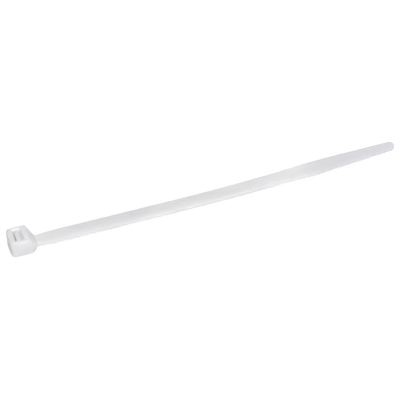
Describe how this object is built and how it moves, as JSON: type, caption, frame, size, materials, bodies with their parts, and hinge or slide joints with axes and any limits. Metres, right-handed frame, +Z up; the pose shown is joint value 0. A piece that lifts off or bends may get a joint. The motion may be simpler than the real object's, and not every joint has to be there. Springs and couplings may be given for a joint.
{
  "type": "cable tie",
  "caption": "Self-locking cable tie: a block-shaped head with a strap slot and a pawl, a toothed flat strap with a slight bow, and a tapered tail.",
  "frame": {"origin": "middle of the strap slot, on the plane that the head's foot lies on", "axes": "+X along the strap from the head to the tail, +Z up through the slot, out of the smooth side; the teeth face -Z"},
  "size_m": [0.1, 0.0056, 0.0047],
  "materials": {
    "nylon": "natural milky nylon, satin"
  },
  "bodies": {
    "root": {"cable_tie": "nylon"}
  },
  "joints": []
}
